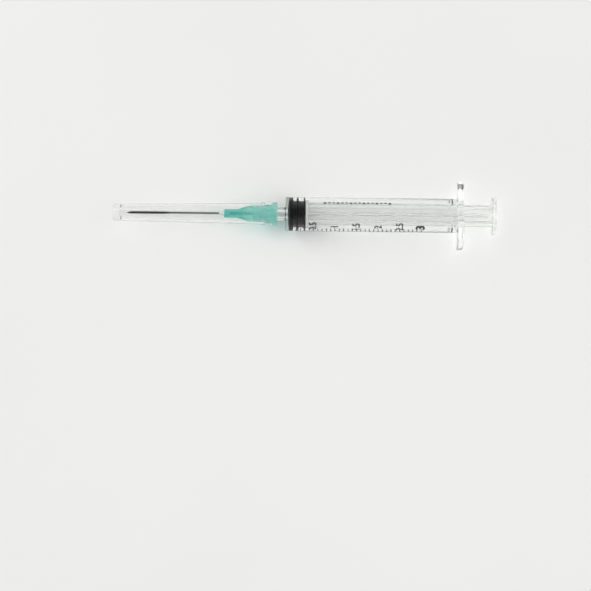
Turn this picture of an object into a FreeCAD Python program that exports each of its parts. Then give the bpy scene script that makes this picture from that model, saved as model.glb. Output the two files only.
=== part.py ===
import FreeCAD, Part
import Sketcher
import os

# A 3 mL disposable syringe with a 21 gauge needle and its cap, in millimetres.
# Each piece is drawn on its own axis, local X, with the needle towards -X and x = 0 at the
# barrel's front shoulder. The placements then lay that axis flat, one half flange above the table.

doc = FreeCAD.newDocument("syringe")

# Driving dimensions
SIZES = {
    # barrel
    "barrel_outer_diameter": 11.1,
    "barrel_wall": 0.8,
    "barrel_length": 57.8,
    "front_wall": 0.7,
    "front_cone_height": 0.75,
    "shoulder_round": 0.2,
    "nozzle_length": 8.8,
    "nozzle_tip_diameter": 3.95,
    "nozzle_bore_diameter": 2.0,
    "nozzle_root_round": 0.4,
    "slip_taper": 0.06,
    "flange_length": 22.6,
    "flange_side_step": 0.85,
    "flange_thickness": 2.0,
    "flange_corner_round": 1.0,
    "flange_edge_round": 0.5,
    "flange_root_round": 0.8,
    "bead_height": 0.3,
    "bead_width": 1.4,
    "bead_crest_width": 0.5,
    "bead_from_rear": 4.0,
    # printed scale
    "tenth_volume": 100.0,
    "tick_count": 31,
    "long_tick_every": 5,
    "tick_width": 0.28,
    "ink_thickness": 0.03,
    "tick_start_angle": 80.0,
    "short_tick_angle": 34.0,
    "long_tick_angle": 56.0,
    # stopper
    "stopper_front_gap": 0.1,
    "stopper_bore_clearance": 0.015,
    "stopper_core_diameter": 8.6,
    "front_rib_width": 1.0,
    "middle_rib_spacing": 1.85,
    "middle_rib_width": 0.8,
    "rear_rib_spacing": 2.25,
    "rear_rib_width": 0.6,
    "rib_bevel": 0.12,
    "stopper_lip": 1.3,
    # plunger rod
    "rod_length": 62.2,
    "snap_clearance": 0.08,
    "snap_head_length": 2.2,
    "snap_nose_length": 1.1,
    "snap_head_diameter": 5.2,
    "snap_head_nose_diameter": 3.0,
    "snap_neck_diameter": 3.4,
    "front_disc_gap": 0.05,
    "front_disc_clearance": 0.13,
    "front_disc_thickness": 1.1,
    "rib_span": 8.0,
    "rib_thickness": 1.1,
    "rib_root_round": 0.4,
    "rod_roll": 45.0,
    "thumb_diameter": 12.2,
    "thumb_thickness": 1.6,
    "thumb_edge_round": 0.4,
    "thumb_ring_diameter": 4.6,
    "thumb_ring_spacing": 1.7,
    "thumb_ring_width": 0.6,
    "thumb_ring_depth": 0.3,
    # needle hub
    "hub_gap": 2.8,
    "slip_clearance": 0.02,
    "socket_depth": 7.8,
    "hub_length": 17.2,
    "hub_rear_diameter": 5.9,
    "hub_fin_front_diameter": 5.4,
    "hub_socket_wall": 0.6,
    "stem_length": 5.4,
    "stem_diameter": 2.8,
    "fin_rise": 3.3,
    "fin_lead": 1.1,
    "fin_thickness": 0.7,
    "fin_count": 4,
    "fin_roll": 20.0,
    "lug_span": 7.6,
    "lug_width": 5.2,
    "lug_thickness": 1.6,
    "lug_roll": 20.0,
    "lug_round": 0.25,
    # cannula and glue
    "cannula_diameter": 0.82,
    "cannula_bore_diameter": 0.51,
    "cannula_exposed": 32.0,
    "cannula_seat": 8.9,
    "cannula_clearance": 0.01,
    "bevel_angle": 13.0,
    "glue_cone_length": 1.7,
    "glue_cone_diameter": 2.1,
    "glue_tip_diameter": 1.0,
    "glue_well_depth": 1.8,
    "glue_well_floor_diameter": 1.2,
    # needle cap
    "cap_from_hub_rear": 4.0,
    "cap_tip_gap": 2.1,
    "cap_hub_clearance": 0.03,
    "cap_rim_diameter": 7.4,
    "cap_rim_width": 1.3,
    "cap_body_diameter": 6.9,
    "cap_tip_diameter": 5.5,
    "cap_tip_round": 0.7,
    "cap_grip_length": 6.2,
    "cap_tip_wall": 0.85,
    "cap_end_wall": 2.2,
    "cap_rim_bevel": 0.2,
    # roundings
    "rounding_share": 0.8,
}

sheet = doc.addObject("Spreadsheet::Sheet", "dims")
for row, (alias, value) in enumerate(SIZES.items(), start=1):
    sheet.set(f"A{row}", alias.replace("_", " "))
    sheet.set(f"B{row}", str(value))
    sheet.setAlias(f"B{row}", alias)
doc.recompute()

# Radii of the barrel
BARREL_R = "(dims.barrel_outer_diameter / 2)"
BORE_R = "(dims.barrel_outer_diameter / 2 - dims.barrel_wall)"
BEAD_R = f"({BORE_R} - dims.bead_height)"
NOZZLE_TIP_R = "(dims.nozzle_tip_diameter / 2)"
NOZZLE_BASE_R = f"({NOZZLE_TIP_R} + dims.slip_taper / 2 * dims.nozzle_length)"

# Stations of the plunger along the axis
STOPPER_TIP = "(dims.front_wall + dims.stopper_front_gap)"
RIB_1 = f"({STOPPER_TIP} + dims.front_cone_height + dims.front_rib_width / 2)"
RIB_2 = f"({RIB_1} + dims.middle_rib_spacing)"
RIB_3 = f"({RIB_2} + dims.rear_rib_spacing)"
STOPPER_REAR = f"({RIB_3} + dims.rear_rib_width / 2)"
DISC_FRONT = f"({STOPPER_REAR} + dims.front_disc_gap)"
DISC_REAR = f"({DISC_FRONT} + dims.front_disc_thickness)"
ROD_REAR = f"({DISC_FRONT} + dims.rod_length)"
THUMB_FRONT = f"({ROD_REAR} - dims.thumb_thickness)"
HEAD_REAR = f"({STOPPER_REAR} - dims.stopper_lip - dims.snap_clearance)"
HEAD_FRONT = f"({HEAD_REAR} - dims.snap_head_length)"

# Stations of the needle along the axis, all in front of the shoulder
HUB_REAR = "(-dims.hub_gap)"
HUB_FRONT = f"({HUB_REAR} - dims.hub_length)"
SOCKET_FLOOR = f"({HUB_REAR} - dims.socket_depth)"
LUG_FRONT = f"({HUB_REAR} - dims.lug_thickness)"
STEM_REAR = f"({HUB_FRONT} + dims.stem_length)"
FIN_TOP = f"({STEM_REAR} + dims.fin_rise)"
CANNULA_TIP = f"({HUB_FRONT} - dims.cannula_exposed)"
CANNULA_REAR = f"({HUB_FRONT} + dims.cannula_seat)"
CAP_REAR = f"({HUB_REAR} - dims.cap_from_hub_rear)"
CAP_FLOOR = f"({CANNULA_TIP} - dims.cap_tip_gap)"
CAP_FRONT = f"({CAP_FLOOR} - dims.cap_end_wall)"

# The fins' crest and the cap's grip share one slope
HUB_REAR_R = "(dims.hub_rear_diameter / 2)"
FIN_TOP_R = "(dims.hub_fin_front_diameter / 2)"
CREST_SLOPE = f"(({HUB_REAR_R} - {FIN_TOP_R}) / ({LUG_FRONT} - {FIN_TOP}))"
CANNULA_R = "(dims.cannula_diameter / 2)"

# Placement in the part's frame: middle of the length at x = 0, the flange's flat at z = 0
MIDDLE = f"(({ROD_REAR} + {CAP_FRONT}) / 2)"
AXIS_HEIGHT = f"({BARREL_R} + dims.flange_side_step)"


def value_of(expression):
    """Number that an expression on the sheet gives now"""
    found = sheet.evalExpression(expression)
    return float(getattr(found, "Value", found))


def grip_radius(station):
    """Radius of the cap's grip at a station, over the corners of the fins' crests"""
    crest = f"({FIN_TOP_R} + {CREST_SLOPE} * ({station} - {FIN_TOP}))"
    return f"(sqrt({crest} ^ 2 + (dims.fin_thickness / 2) ^ 2) + dims.cap_hub_clearance)"


def nozzle_radius(station):
    """Radius of the slip taper at a station"""
    return f"({NOZZLE_BASE_R} + dims.slip_taper / 2 * {station})"


def held_to(radius, room):
    """Rounding radius, kept a little under the room that its wall leaves"""
    return f"min({radius}; dims.rounding_share * ({room}))"


def new_body(label):
    """Empty piece laid on the syringe's axis in the part's frame"""
    body = doc.addObject("PartDesign::Body", label)
    body.Label = label
    body.Placement = FreeCAD.Placement()
    body.setExpression("Placement.Base.x", f"-{MIDDLE}")
    body.setExpression("Placement.Base.z", AXIS_HEIGHT)
    return body


def origin_feature(body, role):
    """The body's own plane or axis with this role"""
    return next(item for item in body.Origin.OriginFeatures if item.Role == role)


def new_sketch(body, name, role, station=None, roll=None, roll_axis=FreeCAD.Vector(0, 0, 1)):
    """Empty sketch on one of the body's planes, moved along its normal and rolled if asked"""
    sketch = body.newObject("Sketcher::SketchObject", name)
    sketch.AttachmentSupport = [(origin_feature(body, role), "")]
    sketch.MapMode = "FlatFace"
    sketch.AttachmentOffset = FreeCAD.Placement(FreeCAD.Vector(), FreeCAD.Rotation(roll_axis, 1.0))
    sketch.setExpression("AttachmentOffset.Rotation.Angle", roll if roll else "0")
    if station:
        sketch.setExpression("AttachmentOffset.Base.z", station)
    return sketch


def fix_point(sketch, line, along, across):
    """Ties the start of a line to its two coordinates"""
    for kind, expression in (("DistanceX", along), ("DistanceY", across)):
        index = sketch.addConstraint(Sketcher.Constraint(kind, -1, 1, line, 1, value_of(expression)))
        sketch.renameConstraint(index, f"{kind}_{line}")
        sketch.setExpression(f"Constraints.{kind}_{line}", expression)


def outline(sketch, corners):
    """Closed outline of straight edges through corners, each a pair of expressions"""
    points = [FreeCAD.Vector(value_of(along), value_of(across), 0) for along, across in corners]
    count = len(points)
    for i, point in enumerate(points):
        sketch.addGeometry(Part.LineSegment(point, points[(i + 1) % count]), False)
    for i in range(count):
        sketch.addConstraint(Sketcher.Constraint("Coincident", i, 2, (i + 1) % count, 1))
    for i, (along, across) in enumerate(corners):
        fix_point(sketch, i, along, across)


def flatted_circle(sketch, length, width):
    """Circle of the given length cut by two flats that are the given width apart"""
    radius = value_of(length) / 2
    rise = value_of(width) / 2
    reach = (radius**2 - rise**2) ** 0.5
    right = FreeCAD.Vector(radius, 0, 0)
    corners = [FreeCAD.Vector(sx * reach, sy * rise, 0) for sx, sy in ((1, 1), (-1, 1), (-1, -1), (1, -1))]
    sketch.addGeometry(Part.LineSegment(corners[0], corners[1]), False)
    sketch.addGeometry(Part.Arc(corners[1], -right, corners[2]), False)
    sketch.addGeometry(Part.LineSegment(corners[2], corners[3]), False)
    sketch.addGeometry(Part.Arc(corners[3], right, corners[0]), False)
    for line, arc in ((0, 1), (2, 3)):
        sketch.addConstraint(Sketcher.Constraint("Horizontal", line))
        sketch.addConstraint(Sketcher.Constraint("Coincident", line, 2, arc, 1))
        sketch.addConstraint(Sketcher.Constraint("Coincident", arc, 2, (arc + 1) % 4, 1))
        sketch.addConstraint(Sketcher.Constraint("Coincident", arc, 3, -1, 1))
    named = (
        (Sketcher.Constraint("Radius", 1, radius), "round_1", f"{length} / 2"),
        (Sketcher.Constraint("Radius", 3, radius), "round_3", f"{length} / 2"),
        (Sketcher.Constraint("DistanceY", -1, 1, 0, 1, rise), "flat_top", f"{width} / 2"),
        (Sketcher.Constraint("DistanceY", 2, 1, -1, 1, rise), "flat_bottom", f"{width} / 2"),
    )
    for constraint, name, expression in named:
        index = sketch.addConstraint(constraint)
        sketch.renameConstraint(index, name)
        sketch.setExpression(f"Constraints.{name}", expression)


def turned(body, kind, name, sketch, angle="360"):
    """Revolution or Groove of a sketch about the syringe's axis"""
    before = 0 if body.Shape.isNull() else body.Shape.Volume
    feature = body.newObject(f"PartDesign::{kind}", name)
    feature.Profile = sketch
    feature.ReferenceAxis = (sketch, ["H_Axis"])
    feature.setExpression("Angle", angle)
    body.Tip = feature
    doc.recompute()
    if kind == "Groove" and not body.Shape.Volume < before:
        raise RuntimeError(f"{name} cuts nothing")
    return feature


def padded(body, name, sketch, length, both_ways=False):
    """Pad of a sketch by a length"""
    pad = body.newObject("PartDesign::Pad", name)
    pad.Profile = sketch
    pad.Midplane = both_ways
    pad.setExpression("Length", length)
    body.Tip = pad
    doc.recompute()
    return pad


def eased(body, kind, name, size, wanted):
    """Fillet or Chamfer on every edge of the body that the test wants"""
    base = body.Tip
    names = [f"Edge{i}" for i, edge in enumerate(base.Shape.Edges, start=1) if wanted(edge)]
    feature = body.newObject(f"PartDesign::{kind}", name)
    feature.Base = (base, names)
    feature.setExpression("Radius" if kind == "Fillet" else "Size", size)
    body.Tip = feature
    doc.recompute()
    return feature


def ends_of(edge):
    """The edge's two ends, and how far each lies from the syringe's axis"""
    ends = [edge.valueAt(edge.FirstParameter), edge.valueAt(edge.LastParameter)]
    return ends, [(point.y**2 + point.z**2) ** 0.5 for point in ends]


def ring_edge(station, radius):
    """Test for a full circle about the axis at a station"""
    x, r = value_of(station), value_of(radius)

    def wanted(edge):
        curve = edge.Curve
        if not isinstance(curve, Part.Circle):
            return False
        centre = curve.Center
        on_axis = abs(centre.y) < 1e-6 and abs(centre.z) < 1e-6
        return on_axis and abs(centre.x - x) < 1e-6 and abs(curve.Radius - r) < 1e-6

    return wanted


def rim_edge(station, radius_over):
    """Test for any edge that lies in one plane across the axis and outside a radius"""
    x, r = value_of(station), value_of(radius_over)

    def wanted(edge):
        ends, reaches = ends_of(edge)
        flat = all(abs(point.x - x) < 1e-6 for point in ends)
        return flat and all(reach > r + 1e-6 for reach in reaches)

    return wanted


def long_edge(radius, length):
    """Test for a straight edge of one length that runs along the axis at one radius"""
    r, run = value_of(radius), value_of(length)

    def wanted(edge):
        ends, reaches = ends_of(edge)
        at_radius = all(abs(reach - r) < 1e-6 for reach in reaches)
        return at_radius and abs(abs(ends[0].x - ends[1].x) - run) < 1e-6

    return wanted


def any_of(*tests):
    """Test for an edge that one of several tests wants"""
    return lambda edge: any(test(edge) for test in tests)


def around_axis(body, name, feature, count):
    """Polar pattern of one feature about the syringe's axis"""
    pattern = body.newObject("PartDesign::PolarPattern", name)
    pattern.Originals = [feature]
    pattern.Axis = (origin_feature(body, "X_Axis"), [""])
    pattern.Angle = 360
    pattern.setExpression("Occurrences", count)
    body.Tip = pattern
    doc.recompute()
    return pattern


def along_axis(body, name, feature, count, step):
    """Linear pattern of one feature along the syringe's axis"""
    pattern = body.newObject("PartDesign::LinearPattern", name)
    pattern.Originals = [feature]
    pattern.Direction = (origin_feature(body, "X_Axis"), [""])
    pattern.setExpression("Length", f"({count} - 1) * {step}")
    pattern.setExpression("Occurrences", count)
    body.Tip = pattern
    doc.recompute()
    return pattern


def make_barrel():
    """One clear moulding: tube, conical end wall, slip nozzle, finger flange and inner bead"""
    body = new_body("barrel")
    shell = new_sketch(body, "shell_outline", "XZ_Plane")
    outline(
        shell,
        [
            ("-dims.nozzle_length", "0"),
            ("-dims.nozzle_length", NOZZLE_TIP_R),
            ("0", NOZZLE_BASE_R),
            ("0", BARREL_R),
            ("dims.barrel_length", BARREL_R),
            ("dims.barrel_length", "0"),
        ],
    )
    turned(body, "Revolution", "shell", shell)
    plate = new_sketch(body, "flange_outline", "YZ_Plane", "dims.barrel_length - dims.flange_thickness")
    flatted_circle(plate, "dims.flange_length", f"2 * {AXIS_HEIGHT}")
    padded(body, "flange", plate, "dims.flange_thickness")
    eased(body, "Fillet", "shoulder_rounding", "dims.shoulder_round", ring_edge("0", BARREL_R))
    eased(body, "Fillet", "nozzle_root", "dims.nozzle_root_round", ring_edge("0", NOZZLE_BASE_R))
    corner = long_edge("dims.flange_length / 2", "dims.flange_thickness")
    eased(body, "Fillet", "flange_corners", "dims.flange_corner_round", corner)
    flange_front = "dims.barrel_length - dims.flange_thickness"
    edge_round = held_to("dims.flange_edge_round", "dims.flange_side_step")
    for name, station in (("front", flange_front), ("rear", "dims.barrel_length")):
        eased(body, "Fillet", f"flange_{name}_edge", edge_round, rim_edge(station, BARREL_R))
    root_round = held_to("dims.flange_root_round", f"dims.flange_side_step - {edge_round}")
    eased(body, "Fillet", "flange_root", root_round, ring_edge(flange_front, BARREL_R))
    bead = "(dims.barrel_length - dims.bead_from_rear)"
    bore = new_sketch(body, "bore_outline", "XZ_Plane")
    outline(
        bore,
        [
            ("dims.front_wall", "0"),
            ("dims.front_wall + dims.front_cone_height", BORE_R),
            (f"{bead} - dims.bead_width / 2", BORE_R),
            (f"{bead} - dims.bead_crest_width / 2", BEAD_R),
            (f"{bead} + dims.bead_crest_width / 2", BEAD_R),
            (f"{bead} + dims.bead_width / 2", BORE_R),
            ("dims.barrel_length", BORE_R),
            ("dims.barrel_length", "0"),
        ],
    )
    turned(body, "Groove", "bore", bore)
    duct = new_sketch(body, "nozzle_bore_outline", "XZ_Plane")
    outline(
        duct,
        [
            ("-dims.nozzle_length", "0"),
            ("-dims.nozzle_length", "dims.nozzle_bore_diameter / 2"),
            ("dims.front_wall + dims.front_cone_height", "dims.nozzle_bore_diameter / 2"),
            ("dims.front_wall + dims.front_cone_height", "0"),
        ],
    )
    turned(body, "Groove", "nozzle_bore", duct)
    return body


def make_scale():
    """Ink marks of the scale, one for each tenth of a millilitre, longer at each half"""
    body = new_body("scale_print")
    body.AllowCompound = True
    pitch = f"(dims.tenth_volume / (pi * {BORE_R} ^ 2))"
    long_count = "(floor((dims.tick_count - 1) / dims.long_tick_every) + 1)"
    sets = (
        ("short_tick", "dims.short_tick_angle", "dims.tick_count", pitch),
        ("long_tick", "dims.long_tick_angle", long_count, f"{pitch} * dims.long_tick_every"),
    )
    for name, angle, count, step in sets:
        section = new_sketch(
            body,
            f"{name}_section",
            "XZ_Plane",
            roll="dims.tick_start_angle",
            roll_axis=FreeCAD.Vector(1, 0, 0),
        )
        front = f"{RIB_1} - dims.tick_width / 2"
        rear = f"{RIB_1} + dims.tick_width / 2"
        top = f"{BARREL_R} + dims.ink_thickness"
        outline(section, [(front, BARREL_R), (front, top), (rear, top), (rear, BARREL_R)])
        tick = turned(body, "Revolution", name, section, angle)
        along_axis(body, f"{name}_row", tick, count, step)
    return body


def make_stopper():
    """Black rubber piston with three sealing ribs and a socket for the rod's head"""
    body = new_body("stopper")
    rib_r = f"({BORE_R} - dims.stopper_bore_clearance)"
    core_r = "(dims.stopper_core_diameter / 2)"
    rib_1_front = f"{RIB_1} - dims.front_rib_width / 2"
    corners = [(STOPPER_TIP, "0"), (rib_1_front, rib_r)]
    ribs = (
        (RIB_1, "dims.front_rib_width"),
        (RIB_2, "dims.middle_rib_width"),
        (RIB_3, "dims.rear_rib_width"),
    )
    for i, (centre, width) in enumerate(ribs):
        if i:
            corners += [(f"{centre} - {width} / 2", core_r), (f"{centre} - {width} / 2", rib_r)]
        corners.append((f"{centre} + {width} / 2", rib_r))
        if i < 2:
            corners.append((f"{centre} + {width} / 2", core_r))
    corners.append((STOPPER_REAR, "0"))
    section = new_sketch(body, "stopper_outline", "XZ_Plane")
    outline(section, corners)
    turned(body, "Revolution", "stopper_form", section)
    crests = [
        ring_edge(f"{centre} {sign} {width} / 2", rib_r) for centre, width in ribs for sign in ("-", "+")
    ]
    eased(body, "Chamfer", "rib_crests", "dims.rib_bevel", any_of(*crests))
    socket = new_sketch(body, "socket_outline", "XZ_Plane")
    lip = f"({STOPPER_REAR} - dims.stopper_lip)"
    mouth_r = "(dims.snap_neck_diameter / 2 + dims.snap_clearance)"
    chamber_r = "(dims.snap_head_diameter / 2 + dims.snap_clearance)"
    nose_r = "(dims.snap_head_nose_diameter / 2 + dims.snap_clearance)"
    outline(
        socket,
        [
            (STOPPER_REAR, "0"),
            (STOPPER_REAR, mouth_r),
            (lip, mouth_r),
            (lip, chamber_r),
            (f"{HEAD_FRONT} + dims.snap_nose_length - dims.snap_clearance", chamber_r),
            (f"{HEAD_FRONT} - dims.snap_clearance", nose_r),
            (f"{HEAD_FRONT} - dims.snap_clearance", "0"),
        ],
    )
    turned(body, "Groove", "socket", socket)
    return body


def make_rod():
    """One moulding: snap head, neck, front disc, crossed ribs and thumb rest"""
    body = new_body("plunger_rod")
    body.Placement.Rotation = FreeCAD.Rotation(FreeCAD.Vector(1, 0, 0), 1.0)
    body.setExpression("Placement.Rotation.Angle", "dims.rod_roll")
    disc_r = f"({BORE_R} - dims.front_disc_clearance)"
    head = new_sketch(body, "head_outline", "XZ_Plane")
    outline(
        head,
        [
            (HEAD_FRONT, "0"),
            (HEAD_FRONT, "dims.snap_head_nose_diameter / 2"),
            (f"{HEAD_FRONT} + dims.snap_nose_length", "dims.snap_head_diameter / 2"),
            (HEAD_REAR, "dims.snap_head_diameter / 2"),
            (HEAD_REAR, "dims.snap_neck_diameter / 2"),
            (DISC_FRONT, "dims.snap_neck_diameter / 2"),
            (DISC_FRONT, disc_r),
            (DISC_REAR, disc_r),
            (DISC_REAR, "0"),
        ],
    )
    turned(body, "Revolution", "head_and_disc", head)
    tip = "dims.rib_span / 2"
    side = "dims.rib_thickness / 2"
    cross = new_sketch(body, "cross_outline", "YZ_Plane", DISC_REAR)
    outline(
        cross,
        [
            (side, side), (side, tip), (f"-{side}", tip), (f"-{side}", side),
            (f"-{tip}", side), (f"-{tip}", f"-{side}"), (f"-{side}", f"-{side}"), (f"-{side}", f"-{tip}"),
            (side, f"-{tip}"), (side, f"-{side}"), (tip, f"-{side}"), (tip, side),
        ],
    )
    run = f"{THUMB_FRONT} - {DISC_REAR}"
    padded(body, "crossed_ribs", cross, run)
    eased(body, "Fillet", "rib_roots", "dims.rib_root_round", long_edge(f"{side} * sqrt(2)", run))
    rest = new_sketch(body, "thumb_outline", "XZ_Plane")
    thumb_r = "(dims.thumb_diameter / 2)"
    outline(rest, [(THUMB_FRONT, "0"), (THUMB_FRONT, thumb_r), (ROD_REAR, thumb_r), (ROD_REAR, "0")])
    turned(body, "Revolution", "thumb_rest", rest)
    thumb_edges = any_of(ring_edge(THUMB_FRONT, thumb_r), ring_edge(ROD_REAR, thumb_r))
    eased(body, "Fillet", "thumb_edge", "dims.thumb_edge_round", thumb_edges)
    for i in range(2):
        middle = f"(dims.thumb_ring_diameter / 2 + {i} * dims.thumb_ring_spacing)"
        low = f"{middle} - dims.thumb_ring_width / 2"
        high = f"{middle} + dims.thumb_ring_width / 2"
        floor = f"{ROD_REAR} - dims.thumb_ring_depth"
        ring = new_sketch(body, f"thumb_ring_outline_{i}", "XZ_Plane")
        outline(ring, [(floor, low), (ROD_REAR, low), (ROD_REAR, high), (floor, high)])
        turned(body, "Groove", f"thumb_ring_{i}", ring)
    return body


def make_hub():
    """Teal moulding: thin stem, four fins, tapered socket and two rear lugs"""
    body = new_body("needle_hub")
    stem_r = "(dims.stem_diameter / 2)"
    socket_front_r = f"({nozzle_radius(SOCKET_FLOOR)} + dims.slip_clearance)"
    socket_rear_r = f"({nozzle_radius(HUB_REAR)} + dims.slip_clearance)"
    wall_front_r = f"({socket_front_r} + dims.hub_socket_wall)"
    form = new_sketch(body, "hub_outline", "XZ_Plane")
    outline(
        form,
        [
            (HUB_FRONT, "0"),
            (HUB_FRONT, stem_r),
            (STEM_REAR, stem_r),
            (FIN_TOP, wall_front_r),
            (LUG_FRONT, HUB_REAR_R),
            (HUB_REAR, HUB_REAR_R),
            (HUB_REAR, "0"),
        ],
    )
    turned(body, "Revolution", "hub_form", form)
    fin = new_sketch(
        body, "fin_outline", "XZ_Plane", roll="dims.fin_roll", roll_axis=FreeCAD.Vector(1, 0, 0)
    )
    inside = f"({stem_r} - dims.fin_thickness / 2)"
    outline(
        fin,
        [
            (f"{STEM_REAR} - dims.fin_lead", inside),
            (f"{STEM_REAR} - dims.fin_lead", stem_r),
            (FIN_TOP, FIN_TOP_R),
            (LUG_FRONT, HUB_REAR_R),
            (LUG_FRONT, inside),
        ],
    )
    blade = padded(body, "fin", fin, "dims.fin_thickness", both_ways=True)
    around_axis(body, "fins", blade, "dims.fin_count")
    lug = new_sketch(body, "lug_outline", "YZ_Plane", LUG_FRONT, roll="dims.lug_roll")
    flatted_circle(lug, "dims.lug_span", "dims.lug_width")
    padded(body, "lugs", lug, "dims.lug_thickness")
    eased(body, "Fillet", "lug_edges", "dims.lug_round", rim_edge(HUB_REAR, HUB_REAR_R))
    socket = new_sketch(body, "hub_socket_outline", "XZ_Plane")
    outline(
        socket,
        [
            (SOCKET_FLOOR, "0"),
            (SOCKET_FLOOR, socket_front_r),
            (HUB_REAR, socket_rear_r),
            (HUB_REAR, "0"),
        ],
    )
    turned(body, "Groove", "hub_socket", socket)
    bore_r = f"({CANNULA_R} + dims.cannula_clearance)"
    duct = new_sketch(body, "needle_bore_outline", "XZ_Plane")
    outline(
        duct,
        [
            (HUB_FRONT, "0"),
            (HUB_FRONT, "dims.glue_cone_diameter / 2"),
            (f"{HUB_FRONT} + dims.glue_well_depth", "dims.glue_well_floor_diameter / 2"),
            (f"{HUB_FRONT} + dims.glue_well_depth", bore_r),
            (SOCKET_FLOOR, bore_r),
            (SOCKET_FLOOR, "0"),
        ],
    )
    turned(body, "Groove", "needle_bore", duct)
    return body


def make_cannula():
    """Steel tube with a slanted ground tip that faces up"""
    body = new_body("cannula")
    ring = new_sketch(body, "tube_section", "XZ_Plane")
    inner = "(dims.cannula_bore_diameter / 2)"
    outline(
        ring,
        [
            (CANNULA_TIP, inner),
            (CANNULA_TIP, CANNULA_R),
            (CANNULA_REAR, CANNULA_R),
            (CANNULA_REAR, inner),
        ],
    )
    turned(body, "Revolution", "tube", ring)
    slant = new_sketch(body, "bevel_outline", "XZ_Plane")
    reach = "(dims.cannula_diameter / tan(1deg * dims.bevel_angle))"
    outline(
        slant,
        [
            (CANNULA_TIP, f"-{CANNULA_R}"),
            (f"{CANNULA_TIP} + {reach}", CANNULA_R),
            (f"{CANNULA_TIP} + {reach}", "dims.cannula_diameter"),
            (f"{CANNULA_TIP} - dims.cannula_diameter", "dims.cannula_diameter"),
            (f"{CANNULA_TIP} - dims.cannula_diameter", f"-{CANNULA_R}"),
        ],
    )
    before = body.Shape.Volume
    bevel = body.newObject("PartDesign::Pocket", "bevel")
    bevel.Profile = slant
    bevel.Midplane = True
    bevel.setExpression("Length", "dims.cannula_diameter * 2")
    body.Tip = bevel
    doc.recompute()
    if not body.Shape.Volume < before:
        raise RuntimeError("bevel cuts nothing")
    return body


def make_glue():
    """Cured epoxy that fills the hub's well and stands out of it as a cone"""
    body = new_body("needle_glue")
    inner = f"({CANNULA_R} + dims.cannula_clearance)"
    gap = "dims.cannula_clearance"
    section = new_sketch(body, "glue_outline", "XZ_Plane")
    outline(
        section,
        [
            (f"{HUB_FRONT} - dims.glue_cone_length", inner),
            (f"{HUB_FRONT} - dims.glue_cone_length", "dims.glue_tip_diameter / 2"),
            (HUB_FRONT, f"dims.glue_cone_diameter / 2 - {gap}"),
            (
                f"{HUB_FRONT} + dims.glue_well_depth - {gap}",
                f"dims.glue_well_floor_diameter / 2 - {gap}",
            ),
            (f"{HUB_FRONT} + dims.glue_well_depth - {gap}", inner),
        ],
    )
    turned(body, "Revolution", "glue", section)
    return body


def make_cap():
    """Clear sheath over the needle, closed at its tip, with a flared rim that grips the hub"""
    body = new_body("needle_cap")
    rim_r = "(dims.cap_rim_diameter / 2)"
    tip_r = "(dims.cap_tip_diameter / 2)"
    rim_front = f"({CAP_REAR} - dims.cap_rim_width)"
    form = new_sketch(body, "cap_outline", "XZ_Plane")
    outline(
        form,
        [
            (CAP_FRONT, "0"),
            (CAP_FRONT, tip_r),
            (rim_front, "dims.cap_body_diameter / 2"),
            (rim_front, rim_r),
            (CAP_REAR, rim_r),
            (CAP_REAR, "0"),
        ],
    )
    turned(body, "Revolution", "cap_form", form)
    eased(body, "Fillet", "cap_tip_rounding", "dims.cap_tip_round", ring_edge(CAP_FRONT, tip_r))
    rim_edges = any_of(ring_edge(rim_front, rim_r), ring_edge(CAP_REAR, rim_r))
    rim_bevel = held_to("dims.cap_rim_bevel", f"{rim_r} - dims.cap_body_diameter / 2")
    eased(body, "Chamfer", "cap_rim_bevels", rim_bevel, rim_edges)
    grip_front = f"({CAP_REAR} - dims.cap_grip_length)"
    hollow = new_sketch(body, "cap_hollow_outline", "XZ_Plane")
    outline(
        hollow,
        [
            (CAP_FLOOR, "0"),
            (CAP_FLOOR, f"{tip_r} - dims.cap_tip_wall"),
            (grip_front, grip_radius(grip_front)),
            (CAP_REAR, grip_radius(CAP_REAR)),
            (CAP_REAR, "0"),
        ],
    )
    turned(body, "Groove", "cap_hollow", hollow)
    return body


pieces = [
    make_barrel(),
    make_scale(),
    make_stopper(),
    make_rod(),
    make_hub(),
    make_cannula(),
    make_glue(),
    make_cap(),
]
doc.recompute()

# Nothing is written unless every feature and every piece is sound
for item in doc.Objects:
    if "Invalid" in item.State or "Error" in item.State:
        raise RuntimeError(f"{item.Label}: {item.State}")
for piece in pieces:
    if piece.Shape.isNull() or not piece.Shape.isValid():
        raise RuntimeError(f"{piece.Label} has no sound shape")

os.makedirs("parts", exist_ok=True)
for piece in pieces:
    piece.Shape.exportStep(os.path.join("parts", f"{piece.Label}.step"))
    box = piece.Shape.BoundBox
    print(
        f"{piece.Label}: {len(piece.Shape.Solids)} solids, {piece.Shape.Volume:.2f} mm3, "
        f"x {box.XMin:.2f} to {box.XMax:.2f}, y {box.YMin:.2f} to {box.YMax:.2f}, "
        f"z {box.ZMin:.2f} to {box.ZMax:.2f}"
    )
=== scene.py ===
# %% [markdown]
# A 3 mL disposable syringe lies on a pale table, with a 21 gauge needle under a clear cap.
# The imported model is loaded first. Every piece below is built in its frame, in metres, and takes
# the place of the model's plain solid. The solids stay hidden underneath, to collide and to weigh.

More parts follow.
